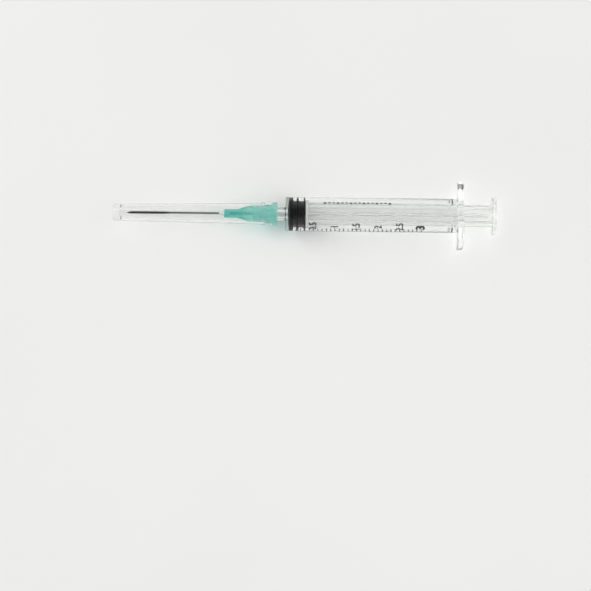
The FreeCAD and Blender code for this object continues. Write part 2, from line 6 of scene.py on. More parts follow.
# %% Load the frame
import math
import bmesh
import bpy
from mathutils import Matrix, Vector


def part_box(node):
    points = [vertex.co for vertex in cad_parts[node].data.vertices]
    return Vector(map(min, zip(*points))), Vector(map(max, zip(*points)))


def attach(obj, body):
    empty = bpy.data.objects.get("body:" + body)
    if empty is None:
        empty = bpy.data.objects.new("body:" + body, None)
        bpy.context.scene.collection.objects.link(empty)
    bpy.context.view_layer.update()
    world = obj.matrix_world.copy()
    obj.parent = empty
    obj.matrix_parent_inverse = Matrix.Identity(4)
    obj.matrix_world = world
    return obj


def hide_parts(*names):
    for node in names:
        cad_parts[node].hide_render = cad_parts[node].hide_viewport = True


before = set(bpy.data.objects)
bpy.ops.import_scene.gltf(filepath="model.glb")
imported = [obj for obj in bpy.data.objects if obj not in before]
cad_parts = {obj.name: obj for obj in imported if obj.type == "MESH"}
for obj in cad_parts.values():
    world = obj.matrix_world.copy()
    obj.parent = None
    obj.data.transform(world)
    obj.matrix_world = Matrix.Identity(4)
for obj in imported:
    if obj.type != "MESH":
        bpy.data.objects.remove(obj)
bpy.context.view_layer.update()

# %% [markdown]
# Nearly every piece of a syringe is round about one line, its axis. So sizes are written as on a
# turner's drawing: a station along the axis in millimetres behind the barrel's front shoulder, and a
# radius. The barrel's box in the frame lays that drawing in place. A turn says how far round the axis
# a point lies, from the top towards the viewer.

# %% Lay the axis in the frame
MM = 0.001
NOZZLE_LENGTH = 8.8
SHOULDER_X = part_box("barrel")[0].x + NOZZLE_LENGTH * MM
AXIS_Z = (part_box("barrel")[0].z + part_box("barrel")[1].z) / 2
print("shoulder at", round(SHOULDER_X, 5), "axis height", round(AXIS_Z, 5))


def at(station, radius, turn):
    """Place in metres of a station and radius in mm, turned from the top towards -Y"""
    across = -radius * math.sin(turn)
    return Vector((SHOULDER_X + station * MM, across * MM, AXIS_Z + radius * math.cos(turn) * MM))


# %% [markdown]
# The photograph looks almost straight down, so its camera stands at 80 degrees. A long lens keeps the
# syringe's sides parallel. The small azimuth gives the slight tilt of the needle, and the aim lies
# beside the syringe because the photograph holds it above the middle of the picture.

# %% Set the camera
CAMERA_AZIMUTH = math.radians(0.66)
CAMERA_ELEVATION = math.radians(80)
CAMERA_DISTANCE = 0.70
PIXELS_PER_METRE = 3080
PICTURE_SIDE = 591

camera_data = bpy.data.cameras.new("camera")
camera_data.sensor_width = 36
camera_data.lens = PIXELS_PER_METRE * CAMERA_DISTANCE * camera_data.sensor_width / PICTURE_SIDE
camera = bpy.data.objects.new("camera", camera_data)
bpy.context.scene.collection.objects.link(camera)
aim = Vector((-0.00270, -0.0270, AXIS_Z))
back = Vector((
    math.sin(CAMERA_AZIMUTH) * math.cos(CAMERA_ELEVATION),
    -math.cos(CAMERA_AZIMUTH) * math.cos(CAMERA_ELEVATION),
    math.sin(CAMERA_ELEVATION),
))
camera.location = aim + back * CAMERA_DISTANCE
camera.rotation_euler = (-back).to_track_quat("-Z", "Y").to_euler()
bpy.context.scene.camera = camera
print("lens", round(camera_data.lens, 1), "mm")

# %% [markdown]
# Clear plastic shows only by what it bends and mirrors. The sky is greyer near the horizon, so that
# the edges have something darker to bend, and dark straight above. Two large soft lamps stand off the
# ends of the syringe. Its round walls mirror only what lies to their sides, so no veil of lamplight
# covers the black stopper. Shadow rays carry the lamps' light through the plastic, as a later cell
# says, so bent rays don't meet the lamps a second time.

# %% Light the table
def wire(tree, source, target):
    """Links one socket to another"""
    tree.links.new(source, target)


def put(tree, kind, **settings):
    """New node with its settings"""
    node = tree.nodes.new(kind)
    for name, value in settings.items():
        setattr(node, name, value)
    return node


def soft_lamp(name, place, size, power, colour):
    """Rectangular lamp that looks at the syringe"""
    data = bpy.data.lights.new(name, "AREA")
    data.shape = "RECTANGLE"
    data.size, data.size_y = size
    data.energy = power
    data.color = colour
    lamp = bpy.data.objects.new(name, data)
    bpy.context.scene.collection.objects.link(lamp)
    lamp.location = place
    lamp.rotation_euler = (Vector((0, 0, 0)) - Vector(place)).to_track_quat("-Z", "Y").to_euler()
    lamp.visible_transmission = False
    return lamp


LAMP_SIZE = (1.6, 1.5)
soft_lamp("lamp_needle_end", (-1.15, 0.45, 1.15), LAMP_SIZE, 19.5, (1.0, 0.985, 0.96))
soft_lamp("lamp_thumb_end", (1.15, -0.25, 1.15), LAMP_SIZE, 16.5, (0.98, 0.985, 1.0))

SKY_BANDS = ((0.02, 0.42), (0.30, 0.54), (0.62, 0.40), (0.86, 0.12), (1.0, 0.06))
SKY_STRENGTH = 0.9
world = bpy.data.worlds.new("sky")
bpy.context.scene.world = world
world.use_nodes = True
sky = world.node_tree
direction = put(sky, "ShaderNodeTexCoord")
height = put(sky, "ShaderNodeSeparateXYZ")
ramp = put(sky, "ShaderNodeValToRGB")
while len(ramp.color_ramp.elements) < len(SKY_BANDS):
    ramp.color_ramp.elements.new(0.5)
for band, (upward, grey) in zip(ramp.color_ramp.elements, SKY_BANDS):
    band.position = upward
    band.color = (grey, grey * 1.01, grey * 1.025, 1)
wire(sky, direction.outputs["Generated"], height.inputs["Vector"])
wire(sky, height.outputs["Z"], ramp.inputs["Fac"])
wire(sky, ramp.outputs["Color"], sky.nodes["Background"].inputs["Color"])
sky.nodes["Background"].inputs["Strength"].default_value = SKY_STRENGTH
bpy.context.scene.view_settings.view_transform = "Standard"
print("two lamps and a sky of", len(SKY_BANDS), "bands")

# %% [markdown]
# The table is one wide plane just under the finger flange, off-white with a faint cloud in its
# colour, so that it reads as a surface and not as a cut-out.

# %% Lay the table
TABLE_HALF = 3.0
TABLE_GAP = 0.00002
table_mesh = bpy.data.meshes.new("table")
corners = [(x * TABLE_HALF, y * TABLE_HALF, -TABLE_GAP) for x, y in ((-1, -1), (1, -1), (1, 1), (-1, 1))]
table_mesh.from_pydata(corners, [], [(0, 1, 2, 3)])
table = bpy.data.objects.new("table", table_mesh)
bpy.context.scene.collection.objects.link(table)


def object_grain(tree, scale, detail=3.0, stretch=(1, 1, 1), roughness=0.5):
    """Noise in the piece's own coordinates, as a factor"""
    place = put(tree, "ShaderNodeTexCoord")
    mapping = put(tree, "ShaderNodeMapping")
    mapping.inputs["Scale"].default_value = stretch
    noise = put(tree, "ShaderNodeTexNoise")
    noise.inputs["Scale"].default_value = scale
    noise.inputs["Detail"].default_value = detail
    noise.inputs["Roughness"].default_value = roughness
    wire(tree, place.outputs["Object"], mapping.inputs["Vector"])
    wire(tree, mapping.outputs["Vector"], noise.inputs["Vector"])
    return noise.outputs["Fac"]


def spread(tree, factor, low, high, start=0.3, end=0.7):
    """Number from low to high that follows a factor"""
    node = put(tree, "ShaderNodeMapRange")
    node.inputs["From Min"].default_value = start
    node.inputs["From Max"].default_value = end
    node.inputs["To Min"].default_value = low
    node.inputs["To Max"].default_value = high
    wire(tree, factor, node.inputs["Value"])
    return node.outputs["Result"]


def tinted(tree, factor, dark, light, start=0.3, end=0.7):
    """Colour from dark to light that follows a factor"""
    node = put(tree, "ShaderNodeValToRGB")
    node.color_ramp.elements[0].position = start
    node.color_ramp.elements[0].color = (*dark, 1)
    node.color_ramp.elements[1].position = end
    node.color_ramp.elements[1].color = (*light, 1)
    wire(tree, factor, node.inputs["Fac"])
    return node.outputs["Color"]


def embossed(tree, factor, strength, distance):
    """Normal raised by a factor"""
    node = put(tree, "ShaderNodeBump")
    node.inputs["Strength"].default_value = strength
    node.inputs["Distance"].default_value = distance
    wire(tree, factor, node.inputs["Height"])
    return node.outputs["Normal"]


def new_finish(name):
    """Material with an empty Principled shader: the material, its tree and the shader"""
    finish = bpy.data.materials.new(name)
    finish.use_nodes = True
    tree = finish.node_tree
    return finish, tree, tree.nodes["Principled BSDF"]


table_finish, tree, shader = new_finish("table_laminate")
cloud = object_grain(tree, 6.0)
wire(tree, tinted(tree, cloud, (0.87, 0.87, 0.86), (0.90, 0.90, 0.89)), shader.inputs["Base Color"])
shader.inputs["Roughness"].default_value = 0.75
shader.inputs["Specular IOR Level"].default_value = 0.2
table_mesh.materials.append(table_finish)
print("table laid,", 2 * TABLE_HALF, "m wide")

# %% [markdown]
# The barrel and the cap are clear polypropylene: light goes through, the edges bend it, and the
# surface has the faint waves and haze of a moulding. Real glass shading does this. In Cycles it
# would also cast a black shadow, so for shadow rays alone the shader turns to a tinted transparent
# one, and the lamps reach what lies inside.

# %% Mix the clear plastics
CLEAR_IOR = 1.49


def lets_lamps_through(finish, shader, tint):
    """For shadow rays only, swaps the shader for a transparent one with this tint"""
    tree = finish.node_tree
    rays = put(tree, "ShaderNodeLightPath")
    passing = put(tree, "ShaderNodeBsdfTransparent")
    passing.inputs["Color"].default_value = (*tint, 1)
    mix = put(tree, "ShaderNodeMixShader")
    wire(tree, rays.outputs["Is Shadow Ray"], mix.inputs["Fac"])
    wire(tree, shader, mix.inputs[1])
    wire(tree, passing.outputs["BSDF"], mix.inputs[2])
    wire(tree, mix.outputs["Shader"], tree.nodes["Material Output"].inputs["Surface"])


def clear_plastic(name, colour, low_rough, high_rough, wave, tint):
    """Clear moulded polypropylene, with haze from low to high roughness and a slight wave"""
    finish, tree, shader = new_finish(name)
    shader.inputs["Base Color"].default_value = (*colour, 1)
    shader.inputs["Transmission Weight"].default_value = 1.0
    shader.inputs["IOR"].default_value = CLEAR_IOR
    haze = object_grain(tree, 500, 4.0, (0.25, 1, 1))
    wire(tree, spread(tree, haze, low_rough, high_rough), shader.inputs["Roughness"])
    ripple = object_grain(tree, 160, 2.0, (0.3, 1, 1))
    wire(tree, embossed(tree, ripple, wave, 0.0002), shader.inputs["Normal"])
    lets_lamps_through(finish, shader.outputs["BSDF"], tint)
    return finish


barrel_finish = clear_plastic(
    "clear_moulding", (0.985, 0.99, 0.99), 0.015, 0.055, 0.014, (0.96, 0.965, 0.965)
)
cap_finish = clear_plastic("cap_moulding", (0.975, 0.98, 0.975), 0.04, 0.11, 0.02, (0.95, 0.955, 0.95))
print("clear finishes mixed")

# %% [markdown]
# The plunger's rod is the same plastic left natural and moulded thick, so it is milky. It keeps some
# transmission for its edges and scatters the rest. The hub is that milky plastic with a teal dye. Its
# wall is thick in the stem and thin round the socket, where more light shines through. That light is
# painted into the colour, which turns paler towards the rear, as the shader takes it from the place
# along the axis.

# %% Mix the milky plastics
def along_axis(tree, front, rear):
    """Factor that runs from 0 at one station to 1 at another"""
    place = put(tree, "ShaderNodeTexCoord")
    apart = put(tree, "ShaderNodeSeparateXYZ")
    wire(tree, place.outputs["Object"], apart.inputs["Vector"])
    return spread(tree, apart.outputs["X"], 0.0, 1.0, SHOULDER_X + front * MM, SHOULDER_X + rear * MM)


def blended(tree, factor, first, second):
    """Colour that goes from one to another, sockets or plain colours, with a factor"""
    mix = put(tree, "ShaderNodeMix", data_type="RGBA")
    wire(tree, factor, mix.inputs["Factor"])
    for label, value in (("A", first), ("B", second)):
        slot = next(s for s in mix.inputs if s.name == label and s.type == "RGBA")
        if isinstance(value, tuple):
            slot.default_value = (*value, 1)
        else:
            wire(tree, value, slot)
    return next(s for s in mix.outputs if s.type == "RGBA")


def milky_plastic(name, dark, light, transmission, low_rough, high_rough, tint, painted_through_light=None):
    """Scattering, partly clear polypropylene with a cloudy dye, and painted light that pales it where its
    wall thins
    """
    finish, tree, shader = new_finish(name)
    cloud = object_grain(tree, 260, 4.0, (0.35, 1, 1))
    dye_and_painted_light = tinted(tree, cloud, dark, light)
    # Painted light: the colour turns paler towards the rear, standing in for light that shines through a thin
    # wall.
    if painted_through_light:
        front, rear, painted_light_colour = painted_through_light
        dye_and_painted_light = blended(tree, along_axis(tree, front, rear), dye_and_painted_light, painted_light_colour)
    wire(tree, dye_and_painted_light, shader.inputs["Base Color"])
    shader.inputs["Transmission Weight"].default_value = transmission
    shader.inputs["IOR"].default_value = CLEAR_IOR
    wire(tree, spread(tree, cloud, low_rough, high_rough), shader.inputs["Roughness"])
    orange_peel = object_grain(tree, 1500, 2.0)
    wire(tree, embossed(tree, orange_peel, 0.06, 0.0001), shader.inputs["Normal"])
    lets_lamps_through(finish, shader.outputs["BSDF"], tint)
    return finish


rod_finish = milky_plastic(
    "natural_moulding", (0.93, 0.935, 0.925), (0.97, 0.972, 0.965), 0.88, 0.12, 0.24, (0.92, 0.93, 0.91)
)
# The hub's paler rear is painted light, for the light that comes through its thin socket wall.
hub_finish = milky_plastic(
    "teal_moulding", (0.18, 0.65, 0.60), (0.25, 0.73, 0.68), 0.76, 0.08, 0.18, (0.58, 0.87, 0.83),
    painted_through_light=(-15.5, -9.0, (0.46, 0.80, 0.74)),
)
print("milky finishes mixed")

# %% [markdown]
# The stopper is black rubber. Most of it is wetted by the wall that it presses on, where nothing
# mirrors, so its specular level is low. The cannula is drawn steel, whose marks run along it, and the
# photograph shows its front third darker. That darkness is a painted shade in the steel's colour,
# standing in for the dark surroundings that it mirrors. The glue is a pale epoxy, and the ink is a
# flat black pad print, a little thin in places.

# %% Mix the rubber, steel, glue and ink
rubber_finish, tree, shader = new_finish("oiled_rubber")
bloom = object_grain(tree, 700, 5.0)
wire(tree, tinted(tree, bloom, (0.003, 0.003, 0.0035), (0.009, 0.009, 0.010)), shader.inputs["Base Color"])
wire(tree, spread(tree, bloom, 0.34, 0.50), shader.inputs["Roughness"])
wire(tree, embossed(tree, object_grain(tree, 2600, 3.0), 0.12, 0.00006), shader.inputs["Normal"])
shader.inputs["Specular IOR Level"].default_value = 0.12

steel_finish, tree, shader = new_finish("drawn_steel")
draw_marks = object_grain(tree, 3000, 4.0, (0.02, 1, 1))
steel = tinted(tree, draw_marks, (0.60, 0.595, 0.58), (0.74, 0.735, 0.72))
# Painted shade: the steel's colour is darkened over the front third, for the dark surroundings that it
# mirrors.
painted_shade_front = blended(tree, along_axis(tree, -39.5, -37.5), (0.17, 0.166, 0.16), steel)
wire(tree, painted_shade_front, shader.inputs["Base Color"])
wire(tree, spread(tree, draw_marks, 0.12, 0.24), shader.inputs["Roughness"])
wire(tree, embossed(tree, draw_marks, 0.08, 0.00003), shader.inputs["Normal"])
shader.inputs["Metallic"].default_value = 1.0

glue_finish, tree, shader = new_finish("cured_epoxy")
clouding = object_grain(tree, 900, 3.0)
wire(tree, tinted(tree, clouding, (0.80, 0.81, 0.76), (0.90, 0.905, 0.87)), shader.inputs["Base Color"])
wire(tree, spread(tree, clouding, 0.10, 0.20), shader.inputs["Roughness"])
shader.inputs["Transmission Weight"].default_value = 0.3
shader.inputs["IOR"].default_value = 1.55
shader.inputs["Coat Weight"].default_value = 0.4
lets_lamps_through(glue_finish, shader.outputs["BSDF"], (0.7, 0.7, 0.66))

ink_finish, tree, shader = new_finish("pad_print_ink")
coverage = object_grain(tree, 2200, 3.0)
wire(tree, tinted(tree, coverage, (0.008, 0.008, 0.010), (0.022, 0.022, 0.025)), shader.inputs["Base Color"])
wire(tree, spread(tree, coverage, 0.42, 0.60), shader.inputs["Roughness"])
print("other finishes mixed")

# %% [markdown]
# A turned piece starts as an outline: corners with a station, a radius and a rounding. Real mouldings
# have no sharp corners, so each corner becomes a short arc, which takes up less than half of either
# side. A corner may also carry a stretch, which says how far it follows a shape that isn't round,
# such as the flats of the finger flange.

# %% Draw an outline with rounded corners
ARC_STEPS = 5
CORNER_SHARE = 0.48


def softened(outline, closed):
    """(station, radius, stretch) points of an outline of (station, radius, rounding, stretch) corners"""
    points = []
    count = len(outline)
    for i, (station, radius, rounding, stretch) in enumerate(outline):
        ends = not closed and i in (0, count - 1)
        if ends or not rounding:
            points.append((station, radius, stretch))
            continue
        corner = Vector((station, radius))
        before = Vector(outline[i - 1][:2]) - corner
        after = Vector(outline[(i + 1) % count][:2]) - corner
        room = CORNER_SHARE * min(before.length, after.length)
        before.normalize()
        after.normalize()
        half = before.angle(after) / 2
        run = min(rounding / math.tan(half), room)
        centre = corner + (before + after).normalized() * (run / math.cos(half))
        start = corner + before * run - centre
        sweep = start.angle_signed(corner + after * run - centre)
        for k in range(ARC_STEPS + 1):
            angle = -sweep * k / ARC_STEPS
            c, s = math.cos(angle), math.sin(angle)
            spoke = Vector((start.x * c - start.y * s, start.x * s + start.y * c))
            points.append((*(centre + spoke), stretch))
    return points


print("a rounded corner has", ARC_STEPS + 1, "points")

# %% [markdown]
# One Geometry Nodes tree turns any outline about the axis, as a lathe would. A grid has one row for
# each outline point and one column for each step round the axis. The tree bends that grid into place
# and welds its seam and its poles, so the same few named inputs serve every turned piece.

# %% Build the turning tree
def new_tree(name, inputs, first="Geometry"):
    """Geometry Nodes tree with a geometry in and out and named inputs"""
    tree = bpy.data.node_groups.new(name, "GeometryNodeTree")
    tree.interface.new_socket(first, in_out="INPUT", socket_type="NodeSocketGeometry")
    for label, kind in inputs:
        tree.interface.new_socket(label, in_out="INPUT", socket_type=f"NodeSocket{kind}")
    tree.interface.new_socket("Piece", in_out="OUTPUT", socket_type="NodeSocketGeometry")
    return tree, put(tree, "NodeGroupInput"), put(tree, "NodeGroupOutput")


def reckon(tree, operation, *values):
    """Math node of sockets and plain numbers"""
    node = put(tree, "ShaderNodeMath", operation=operation)
    for slot, value in zip(node.inputs, values):
        if isinstance(value, (int, float)):
            slot.default_value = value
        else:
            wire(tree, value, slot)
    return node.outputs["Value"]


def round_the_axis(tree, along, radius, turn, axis_height):
    """Position vector of a radius and turn about the axis"""
    place = put(tree, "ShaderNodeCombineXYZ")
    wire(tree, along, place.inputs["X"])
    across = reckon(tree, "MULTIPLY", radius, reckon(tree, "SINE", turn))
    wire(tree, reckon(tree, "MULTIPLY", across, -1.0), place.inputs["Y"])
    up = reckon(tree, "MULTIPLY", radius, reckon(tree, "COSINE", turn))
    wire(tree, reckon(tree, "ADD", up, axis_height), place.inputs["Z"])
    return place.outputs["Vector"]


def finished_in(tree, geometry, given, leaving):
    """Ends a tree: real geometry with its material"""
    real = put(tree, "GeometryNodeRealizeInstances")
    dressed = put(tree, "GeometryNodeSetMaterial")
    wire(tree, geometry, real.inputs["Geometry"])
    wire(tree, real.outputs["Geometry"], dressed.inputs["Geometry"])
    wire(tree, given.outputs["Material"], dressed.inputs["Material"])
    wire(tree, dressed.outputs["Geometry"], leaving.inputs["Piece"])


WELD = 1e-6
LEAST_LEAN = 0.05
turning, given, leaving = new_tree(
    "turned_outline",
    [
        ("Steps", "Int"), ("Axis Height", "Float"), ("Round Reach", "Float"), ("Flat Reach", "Float"),
        ("Flat Turn", "Float"), ("Corner Softness", "Float"), ("Material", "Material"),
    ],
    "Outline",
)
steps = given.outputs["Steps"]
size = put(turning, "GeometryNodeAttributeDomainSize", component="MESH")
wire(turning, given.outputs["Outline"], size.inputs["Geometry"])
rows = size.outputs["Point Count"]
last_row = reckon(turning, "SUBTRACT", rows, 1)
grid = put(turning, "GeometryNodeMeshGrid")
wire(turning, last_row, grid.inputs["Size X"])
wire(turning, steps, grid.inputs["Size Y"])
wire(turning, rows, grid.inputs["Vertices X"])
wire(turning, reckon(turning, "ADD", steps, 1), grid.inputs["Vertices Y"])
spot = put(turning, "GeometryNodeInputPosition")
apart = put(turning, "ShaderNodeSeparateXYZ")
wire(turning, spot.outputs["Position"], apart.inputs["Vector"])
half_way = reckon(turning, "DIVIDE", last_row, 2)
row = reckon(turning, "ROUND", reckon(turning, "ADD", apart.outputs["X"], half_way))
share = reckon(turning, "ADD", reckon(turning, "DIVIDE", apart.outputs["Y"], steps), 0.5)
turn = reckon(turning, "MULTIPLY", share, math.tau)
drawn = put(turning, "GeometryNodeSampleIndex", data_type="FLOAT_VECTOR", domain="POINT")
wire(turning, given.outputs["Outline"], drawn.inputs["Geometry"])
wire(turning, spot.outputs["Position"], drawn.inputs["Value"])
wire(turning, row, drawn.inputs["Index"])
drawn_apart = put(turning, "ShaderNodeSeparateXYZ")
wire(turning, drawn.outputs["Value"], drawn_apart.inputs["Vector"])
named = put(turning, "GeometryNodeInputNamedAttribute", data_type="FLOAT")
named.inputs["Name"].default_value = "stretch"
stretched = put(turning, "GeometryNodeSampleIndex", data_type="FLOAT", domain="POINT")
wire(turning, given.outputs["Outline"], stretched.inputs["Geometry"])
wire(turning, named.outputs["Attribute"], stretched.inputs["Value"])
wire(turning, row, stretched.inputs["Index"])
from_flat = reckon(turning, "SUBTRACT", turn, given.outputs["Flat Turn"])
lean = reckon(turning, "ABSOLUTE", reckon(turning, "COSINE", from_flat))
divisor = reckon(turning, "MAXIMUM", lean, LEAST_LEAN)
flat = reckon(turning, "DIVIDE", given.outputs["Flat Reach"], divisor)
reach = reckon(turning, "SMOOTH_MIN", given.outputs["Round Reach"], flat, given.outputs["Corner Softness"])
extra = reckon(turning, "SUBTRACT", reach, given.outputs["Flat Reach"])
share_of_extra = reckon(turning, "MULTIPLY", extra, stretched.outputs["Value"])
radius = reckon(turning, "ADD", drawn_apart.outputs["Z"], share_of_extra)
bent = put(turning, "GeometryNodeSetPosition")
wire(turning, grid.outputs["Mesh"], bent.inputs["Geometry"])
place = round_the_axis(turning, drawn_apart.outputs["X"], radius, turn, given.outputs["Axis Height"])
wire(turning, place, bent.inputs["Position"])
welded = put(turning, "GeometryNodeMergeByDistance")
welded.inputs["Distance"].default_value = WELD
wire(turning, bent.outputs["Geometry"], welded.inputs["Geometry"])
finished_in(turning, welded.outputs["Geometry"], given, leaving)
print("turning tree has", len(turning.nodes), "nodes")

# %% [markdown]
# The tree works on a modifier. Its inputs are set before Blender first looks at the object, and the
# result is then kept as a plain mesh, with the faces turned outwards and only real edges left sharp.

# %% Make a plain mesh of a node tree
SHARP = math.radians(32)


def given_inputs(piece, tree, values):
    """Nodes modifier on a piece, with its named inputs set by identifier"""
    modifier = piece.modifiers.new(tree.name, "NODES")
    modifier.node_group = tree
    for item in tree.interface.items_tree:
        if item.item_type == "SOCKET" and item.in_out == "INPUT" and item.name in values:
            modifier[item.identifier] = values[item.name]


def made_plain(piece):
    """Keeps what the modifiers make as the piece's own mesh"""
    graph = bpy.context.evaluated_depsgraph_get()
    mesh = bpy.data.meshes.new_from_object(piece.evaluated_get(graph), depsgraph=graph)
    piece.modifiers.clear()
    piece.data = mesh
    mesh.name = piece.name
    return piece


def faced_outwards(piece):
    """Welds, turns the faces outwards and shades the piece smooth between its real edges"""
    work = bmesh.new()
    work.from_mesh(piece.data)
    bmesh.ops.remove_doubles(work, verts=work.verts, dist=WELD / 10)
    bmesh.ops.dissolve_degenerate(work, edges=work.edges, dist=WELD / 10)
    bmesh.ops.recalc_face_normals(work, faces=work.faces)
    loose = sum(1 for edge in work.edges if len(edge.link_faces) != 2)
    work.to_mesh(piece.data)
    work.free()
    piece.data.shade_smooth()
    piece.data.set_sharp_from_angle(angle=SHARP)
    points, faces = len(piece.data.vertices), len(piece.data.polygons)
    print(piece.name, points, "points,", faces, "faces,", loose, "open edges")
    return piece


def new_piece(name, places, edges, faces):
    """Mesh object from plain lists"""
    mesh = bpy.data.meshes.new(name)
    mesh.from_pydata(places, edges, faces)
    piece = bpy.data.objects.new(name, mesh)
    bpy.context.scene.collection.objects.link(piece)
    return piece


def turned(
    name, outline, finish, closed=False, steps=160,
    round_reach=10.0, flat_reach=10.0, flat_turn=0.0, softness=0.3,
):
    """Piece turned from an outline of corners, with reaches and softness in mm"""
    points = softened(outline, closed)
    if closed:
        points.append(points[0])
    places = [(SHOULDER_X + station * MM, 0, radius * MM) for station, radius, _ in points]
    piece = new_piece(name, places, [(i, i + 1) for i in range(len(places) - 1)], [])
    stretch = piece.data.attributes.new("stretch", "FLOAT", "POINT")
    stretch.data.foreach_set("value", [point[2] for point in points])
    given_inputs(piece, turning, {
        "Steps": steps, "Axis Height": AXIS_Z, "Round Reach": round_reach * MM, "Flat Reach": flat_reach * MM,
        "Flat Turn": flat_turn, "Corner Softness": softness * MM, "Material": finish,
    })
    return faced_outwards(made_plain(piece))


print("edges of more than", round(math.degrees(SHARP)), "degrees stay sharp")

# %% [markdown]
# The barrel is one moulding: nozzle, conical end wall, tube, finger flange and, just inside the rear
# mouth, the small bead that keeps the plunger in. It has to be one closed surface, because any inner
# face would show in clear plastic as a crack. The flange's outline is a circle cut by two flats.

# %% Turn the barrel
BARREL_R = 5.55
BORE_R = 4.75
NOZZLE_BORE_R = 1.0
BEAD_R = 4.45
FLANGE_FRONT = 55.8
FLANGE_REAR = 57.8
FLANGE_FLAT = 6.4
FLANGE_ROUND = 11.3

barrel = turned(
    "barrel_moulding",
    [
        (-NOZZLE_LENGTH, 1.975, 0.18, 0), (0, 2.239, 0.4, 0), (0, BARREL_R, 0.2, 0),
        (FLANGE_FRONT, BARREL_R, 0.28, 0), (FLANGE_FRONT, FLANGE_FLAT, 0.45, 1),
        (FLANGE_REAR, FLANGE_FLAT, 0.45, 1), (FLANGE_REAR, BORE_R, 0.3, 0),
        (54.5, BORE_R, 0.25, 0), (54.05, BEAD_R, 0.2, 0),
        (53.55, BEAD_R, 0.2, 0), (53.1, BORE_R, 0.25, 0), (1.45, BORE_R, 0.2, 0),
        (0.858, NOZZLE_BORE_R, 0.12, 0), (-NOZZLE_LENGTH, NOZZLE_BORE_R, 0.12, 0),
    ],
    barrel_finish, closed=True, steps=360, round_reach=FLANGE_ROUND, flat_reach=FLANGE_FLAT, softness=0.6,
)
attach(barrel, "barrel")
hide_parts("barrel")

# %% [markdown]
# The stopper is a rubber piston. Its conical front rests on the end wall and its three ribs press on
# the bore. Each overlaps the clear wall by a hundredth of a millimetre, so that no film of air is left
# between: through that contact the black shows as wide as the barrel, as it does on the real one. A
# mouth with a lip holds the head of the rod.

# %% Turn the stopper
CONTACT_R = BORE_R + 0.01
CORE_R = 4.3
LIP_R = 1.78
SEAT_R = 2.68
STOPPER_REAR = 6.45

stopper = turned(
    "stopper_rubber",
    [
        (0.69, 0, 0, 0), (1.44, CONTACT_R, 0.14, 0), (2.55, CONTACT_R, 0.14, 0),
        (2.55, CORE_R, 0.16, 0), (3.5, CORE_R, 0.16, 0), (3.5, CONTACT_R, 0.14, 0), (4.3, CONTACT_R, 0.14, 0),
        (4.3, CORE_R, 0.16, 0), (5.85, CORE_R, 0.16, 0), (5.85, CONTACT_R, 0.12, 0),
        (STOPPER_REAR, CONTACT_R, 0.12, 0), (STOPPER_REAR, LIP_R, 0.2, 0),
        (5.15, LIP_R, 0.15, 0), (5.15, SEAT_R, 0.12, 0), (3.89, SEAT_R, 0.15, 0),
        (2.79, 1.58, 0.15, 0), (2.79, 0, 0, 0),
    ],
    rubber_finish,
)
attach(stopper, "stopper")
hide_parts("stopper")

# %% [markdown]
# The rod has a snap head and a disc in front, crossed ribs, and a thumb rest with two shallow rings.
# The ribs are drawn as one cross-shaped section, because four plates laid through each other would
# leave faces inside. A Boolean then welds ribs, head and thumb rest into one moulding.

# %% Draw a long moulding from its section
def prism_faces(n):
    """Faces of a prism whose two ends of n points follow each other"""
    ends = [tuple(range(n)), tuple(range(2 * n - 1, n - 1, -1))]
    return ends + [(i, (i + 1) % n, n + (i + 1) % n, n + i) for i in range(n)]


def drawn_out(name, section, front, rear, roll):
    """Prism of a rounded section of (across, up, rounding) corners between two stations"""
    ring = [(a, b) for a, b, _ in softened([(*corner, 0) for corner in section], True)]
    places = []
    for station in (front, rear):
        for a, b in ring:
            across = a * math.cos(roll) - b * math.sin(roll)
            up = a * math.sin(roll) + b * math.cos(roll)
            places.append((SHOULDER_X + station * MM, across * MM, AXIS_Z + up * MM))
    return faced_outwards(new_piece(name, places, [], prism_faces(len(ring))))


def merged(piece, other, operation):
    """Boolean of a piece with another, which is used up"""
    modifier = piece.modifiers.new("merge", "BOOLEAN")
    modifier.operation = operation
    modifier.solver = "EXACT"
    modifier.object = other
    made_plain(piece)
    bpy.data.objects.remove(other)
    return piece


RIB_TIP = 4.0
RIB_SIDE = 0.55
TIP_ROUND = 0.16
ROOT_ROUND = 0.4

quarter = [(RIB_SIDE, RIB_SIDE, ROOT_ROUND), (RIB_SIDE, RIB_TIP, TIP_ROUND), (-RIB_SIDE, RIB_TIP, TIP_ROUND)]
cross = []
for k in range(4):
    c, s = round(math.cos(k * math.pi / 2)), round(math.sin(k * math.pi / 2))
    cross += [(a * c - b * s, a * s + b * c, rounding) for a, b, rounding in quarter]
print("the ribs' section has", len(cross), "corners")

# %% [markdown]
# The ribs stand at 45 degrees to the flange. They reach a little way into the disc and the thumb rest,
# so that the Boolean meets real overlaps there and not faces that lie on each other.

# %% Make the plunger rod
RIBS_FRONT = 7.4
RIBS_REAR = 67.3
RIBS_ROLL = math.radians(45)
HEAD_R = 2.6
NECK_R = 1.7
DISC_FRONT = 6.5
DISC_REAR = 7.6
DISC_R = 4.62
THUMB_FRONT = 67.1
THUMB_REAR = 68.7
THUMB_R = 6.1
RING_FLOOR = 68.4

